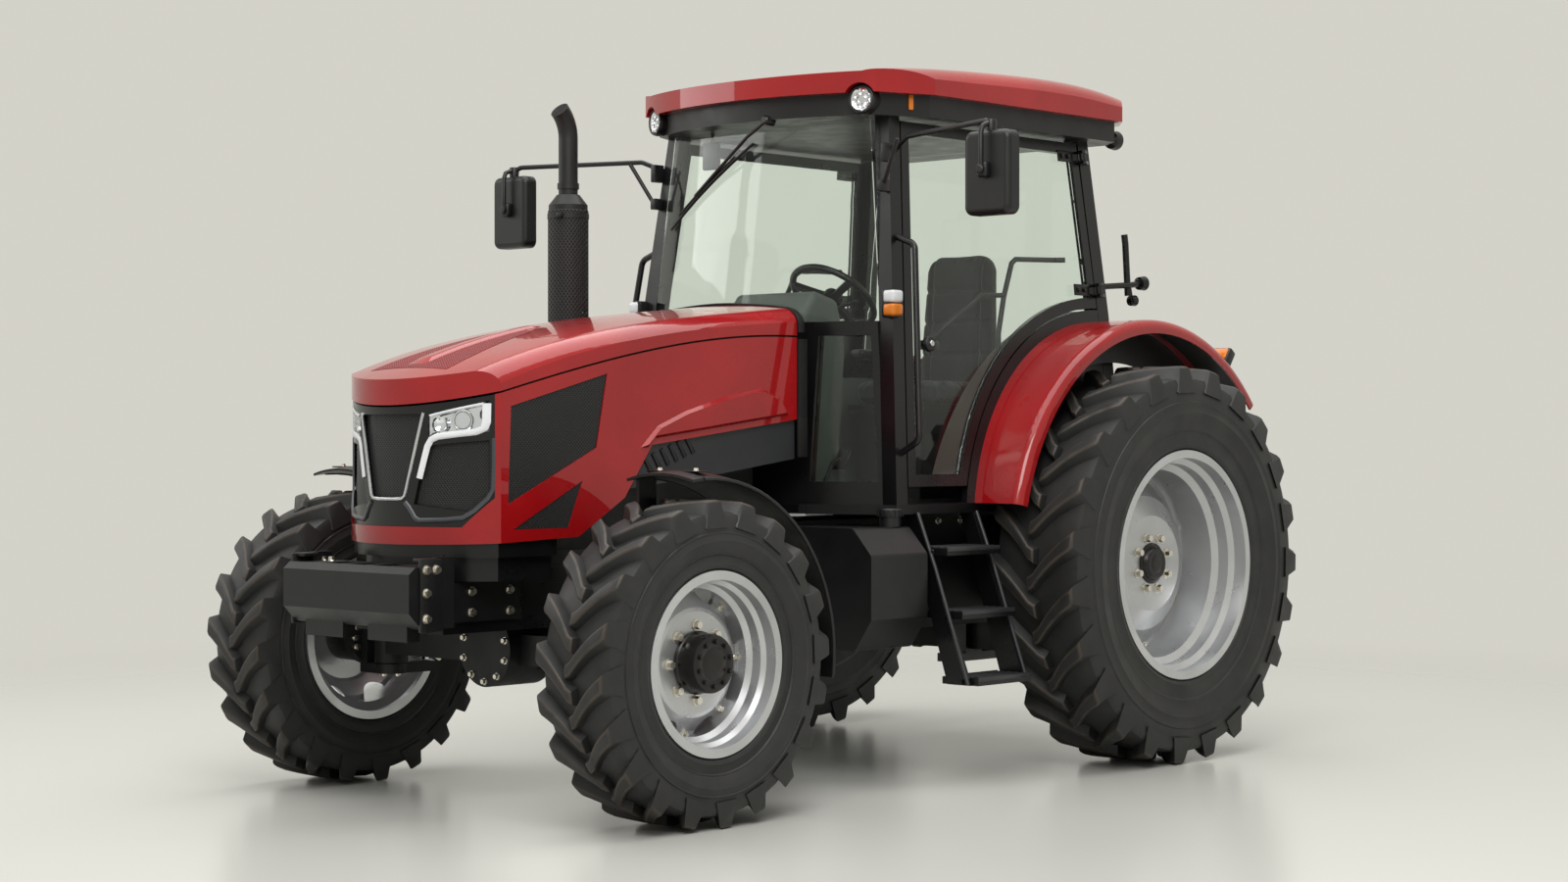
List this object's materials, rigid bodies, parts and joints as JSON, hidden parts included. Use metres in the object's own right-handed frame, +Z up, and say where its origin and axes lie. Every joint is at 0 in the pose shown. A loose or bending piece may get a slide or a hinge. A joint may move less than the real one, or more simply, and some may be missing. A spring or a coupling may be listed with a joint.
{
  "type": "farm tractor with cab and three-point hitch",
  "caption": "Red four-wheel-drive farm tractor with a glazed cab, long bonnet, lugged tyres and a rear three-point hitch.",
  "frame": {"origin": "middle of the bounding box at ground level", "axes": "+Z up, front toward -Y, the tractor's left toward +X"},
  "size_m": [3.07, 4.9399, 3.0651],
  "materials": {
    "body_red": "gloss",
    "black_paint": "satin",
    "grey_casting": "satin",
    "wheel_silver": "satin",
    "tyre": "matte",
    "black_plastic": "matte",
    "grey_plastic": "matte",
    "window_glass": "gloss",
    "lamp_lens": "gloss",
    "steel": "satin",
    "exhaust_black": "satin",
    "seat_fabric": "matte"
  },
  "bodies": {
    "chassis": {"front_axle": "grey_casting", "front_frame": "black_paint", "weight_carrier": "black_paint", "engine_block": "grey_casting", "gearbox": "grey_casting", "rear_axle": "grey_casting", "hood_shell": "body_red", "nose_mask": "black_plastic", "mesh_panels": "black_plastic", "headlamps": "lamp_lens", "engine_panels": "grey_plastic", "exhaust_stack": "exhaust_black", "cab_floor": "black_paint", "firewall": "black_paint", "rear_wall": "black_paint", "wheel_house_walls": "black_paint", "cab_posts": "black_paint", "headliner": "black_plastic", "cab_roof": "body_red", "cab_glass": "window_glass", "rear_wings": "body_red", "cab_steps": "black_paint", "side_tanks": "black_plastic", "mirrors": "black_plastic", "grab_handles": "black_paint", "cab_lamps": "lamp_lens", "cab_consoles": "grey_plastic", "seat_base": "black_plastic", "seat_pads": "seat_fabric", "top_link": "steel", "drawbar": "black_paint"},
    "front_wheel_l": {"front_tyre_left": "tyre", "front_wheel_left": "wheel_silver"},
    "front_wheel_r": {"front_tyre_right": "tyre", "front_wheel_right": "wheel_silver"},
    "rear_wheel_l": {"rear_tyre_left": "tyre", "rear_wheel_left": "wheel_silver"},
    "rear_wheel_r": {"rear_tyre_right": "tyre", "rear_wheel_right": "wheel_silver"},
    "steer_l": {"knuckle_left": "grey_casting", "mudguard_left": "black_plastic"},
    "steer_r": {"knuckle_right": "grey_casting", "mudguard_right": "black_plastic"},
    "rod": {"track_rod": "steel"},
    "hood": {"hood_lid": "body_red"},
    "door_l": {"door_left": "black_paint", "door_glass_left": "window_glass"},
    "door_r": {"door_right": "black_paint", "door_glass_right": "window_glass"},
    "hand_wheel": {"steering_wheel": "black_plastic"},
    "links": {"lower_links": "black_paint"},
    "arms": {"lift_arms": "black_paint"},
    "rods": {"lift_rods": "steel"}
  },
  "joints": [
    {"name": "rear_left_spin", "type": "hinge", "parent": "chassis", "child": "rear_wheel_l", "pos_m": [1.097, 1.17, 0.878], "axis": [1, 0, 0], "continuous": true},
    {"name": "rear_right_spin", "type": "hinge", "parent": "chassis", "child": "rear_wheel_r", "pos_m": [-1.097, 1.17, 0.878], "axis": [1, 0, 0], "continuous": true},
    {"name": "steer_left", "type": "hinge", "parent": "chassis", "child": "steer_l", "pos_m": [0.73, -1.66, 0.608], "axis": [0, 0, 1], "range_deg": [-45, 45]},
    {"name": "steer_right", "type": "hinge", "parent": "chassis", "child": "steer_r", "pos_m": [-0.73, -1.66, 0.608], "axis": [0, 0, 1], "range_deg": [-45.5, 45.5]},
    {"name": "front_left_spin", "type": "hinge", "parent": "steer_l", "child": "front_wheel_l", "pos_m": [1.004, -1.66, 0.608], "axis": [1, 0, 0], "continuous": true},
    {"name": "front_right_spin", "type": "hinge", "parent": "steer_r", "child": "front_wheel_r", "pos_m": [-1.004, -1.66, 0.608], "axis": [1, 0, 0], "continuous": true},
    {"name": "track_rod_slide", "type": "slide", "parent": "chassis", "child": "rod", "axis": [1, 0, 0], "range_m": [-0.125, 0.125]},
    {"name": "hand_wheel_turn", "type": "hinge", "parent": "chassis", "child": "hand_wheel", "pos_m": [0, 0.28, 2.07], "axis": [0, 0.6428, 0.766], "range_deg": [-545, 545]},
    {"name": "door_left_open", "type": "hinge", "parent": "chassis", "child": "door_l", "pos_m": [0.72762, 1.237, 2.40262], "axis": [-0.109, -0.0595, 0.9923], "range_deg": [0, 70]},
    {"name": "door_right_open", "type": "hinge", "parent": "chassis", "child": "door_r", "pos_m": [-0.72762, 1.237, 2.40262], "axis": [-0.109, 0.0595, -0.9923], "range_deg": [0, 70]},
    {"name": "hood_open", "type": "hinge", "parent": "chassis", "child": "hood", "pos_m": [0, -0.452, 1.9], "axis": [-1, 0, 0], "range_deg": [0, 50]},
    {"name": "link_lift", "type": "hinge", "parent": "chassis", "child": "links", "pos_m": [0, 1.23, 0.47], "axis": [1, 0, 0], "range_deg": [-8, 24]},
    {"name": "arm_lift", "type": "hinge", "parent": "chassis", "child": "arms", "pos_m": [0, 1.5, 1.09], "axis": [1, 0, 0], "range_deg": [-16.5, 47.5]},
    {"name": "rod_swing", "type": "hinge", "parent": "arms", "child": "rods", "pos_m": [0, 1.83, 1.16], "axis": [1, 0, 0], "range_deg": [-39.5, 14]}
  ],
  "couplings": [
    {"joint": "steer_right", "follows": "steer_left", "ratio": 1},
    {"joint": "track_rod_slide", "follows": "steer_left", "m_per_rad": -0.15},
    {"joint": "hand_wheel_turn", "follows": "steer_left", "ratio": 12},
    {"joint": "arm_lift", "follows": "link_lift", "ratio": 1.95},
    {"joint": "rod_swing", "follows": "link_lift", "ratio": -1.6}
  ]
}
